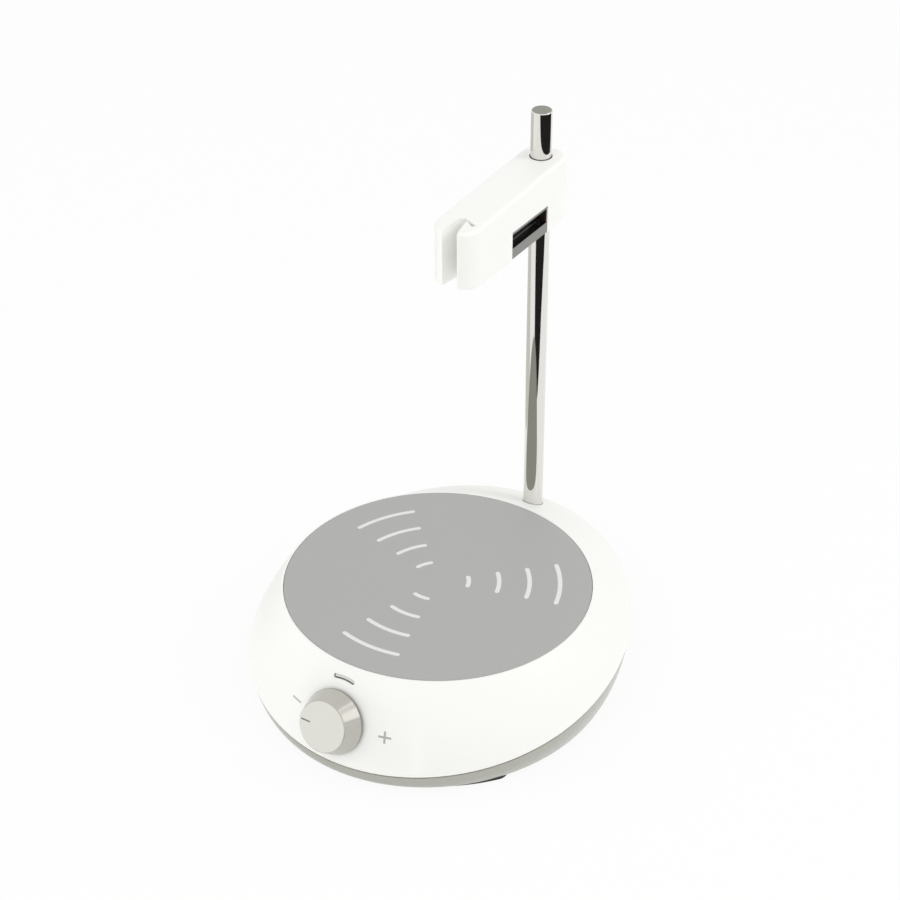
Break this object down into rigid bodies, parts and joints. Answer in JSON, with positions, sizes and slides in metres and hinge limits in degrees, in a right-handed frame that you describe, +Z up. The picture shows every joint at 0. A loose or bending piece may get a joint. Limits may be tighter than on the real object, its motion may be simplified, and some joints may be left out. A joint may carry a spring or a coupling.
{
  "type": "magnetic stirrer",
  "caption": "Low round magnetic stirrer with a sloping shell, a front speed knob, a flat vessel plate, and a rear rod that carries a sliding probe holder.",
  "frame": {"origin": "on the stirring axis at the table surface, under the middle of the stirrer", "axes": "+Z up, -Y to the front with the knob, +Y to the rear with the rod, +X to the stirrer's right"},
  "size_m": [0.187, 0.2033, 0.2684],
  "materials": {
    "housing": "smooth white moulding",
    "pan": "fine light grey moulding",
    "feet": "matte black",
    "screws": "zinc plated",
    "plate": "smooth mid grey",
    "arcs": "smooth pale grey",
    "gasket": "matte black",
    "pot": "moulded",
    "nut": "nickel plated",
    "board": "solder mask",
    "led": "clear",
    "lens": "smoked",
    "rod": "polished",
    "socket": "turned",
    "motor": "drawn, nickel plated",
    "stator": "laminated",
    "bearings": "ground",
    "bracket": "stamped",
    "chips": "moulded",
    "inlet": "moulded",
    "knob": "fine satin",
    "pointer": "filled line",
    "shafts": "ground",
    "carrier": "turned",
    "magnets": "ground",
    "bushes": "smooth",
    "arm": "smooth white moulding",
    "bar": "smooth dark",
    "spring": "spring wire"
  },
  "bodies": {
    "base": {"upper_housing": "housing", "base_pan": "pan", "foot_1": "feet", "foot_2": "feet", "foot_3": "feet", "foot_4": "feet", "housing_screws": "screws", "top_plate": "plate", "plate_arcs": "arcs", "plate_gasket": "gasket", "potentiometer": "pot", "pot_nut": "nut", "front_board": "board", "front_board_screws": "screws", "indicator_led": "led", "indicator_lens": "lens", "support_rod": "rod", "rod_socket": "socket", "rod_socket_screw": "screws", "rod_grub_screw": "screws", "motor_can": "motor", "motor_cap": "motor", "motor_stator": "stator", "bearing_lower": "bearings", "bearing_upper": "bearings", "motor_bracket": "bracket", "bracket_screws": "screws", "motor_screws": "screws", "driver_board": "board", "driver_parts": "chips", "driver_screws": "screws", "power_inlet": "inlet"},
    "knob": {"speed_knob": "knob", "knob_pointer": "pointer", "pot_shaft": "shafts"},
    "rotor": {"drive_shaft": "shafts", "rotor_core": "stator", "magnet_carrier": "carrier", "drive_magnets": "magnets"},
    "carriage": {"rod_bush_upper": "bushes", "rod_bush_lower": "bushes"},
    "arm": {"probe_arm": "arm", "arm_cover": "arm", "cover_screws": "screws", "release_spring": "spring"},
    "button": {"release_bar": "bar"}
  },
  "joints": [
    {"name": "knob_turn", "type": "hinge", "parent": "base", "child": "knob", "pos_m": [0, -0.08848, 0.02894], "axis": [0, -0.9379, 0.347], "range_deg": [-225, 45]},
    {"name": "stir_spin", "type": "hinge", "parent": "base", "child": "rotor", "pos_m": [0, 0, 0.04], "axis": [0, 0, 1], "continuous": true},
    {"name": "arm_height", "type": "slide", "parent": "base", "child": "carriage", "axis": [0, 0, 1], "range_m": [-0.145, 0.02]},
    {"name": "arm_swivel", "type": "hinge", "parent": "carriage", "child": "arm", "pos_m": [0, 0.0898, 0.23], "axis": [0, 0, 1], "continuous": true},
    {"name": "button_press", "type": "slide", "parent": "arm", "child": "button", "axis": [-0.9986, -0.0523, 0], "range_m": [0, 0.0016], "stiffness_N_per_m": 2000, "springref_m": -0.0015, "deforming": ["release_spring"]}
  ]
}
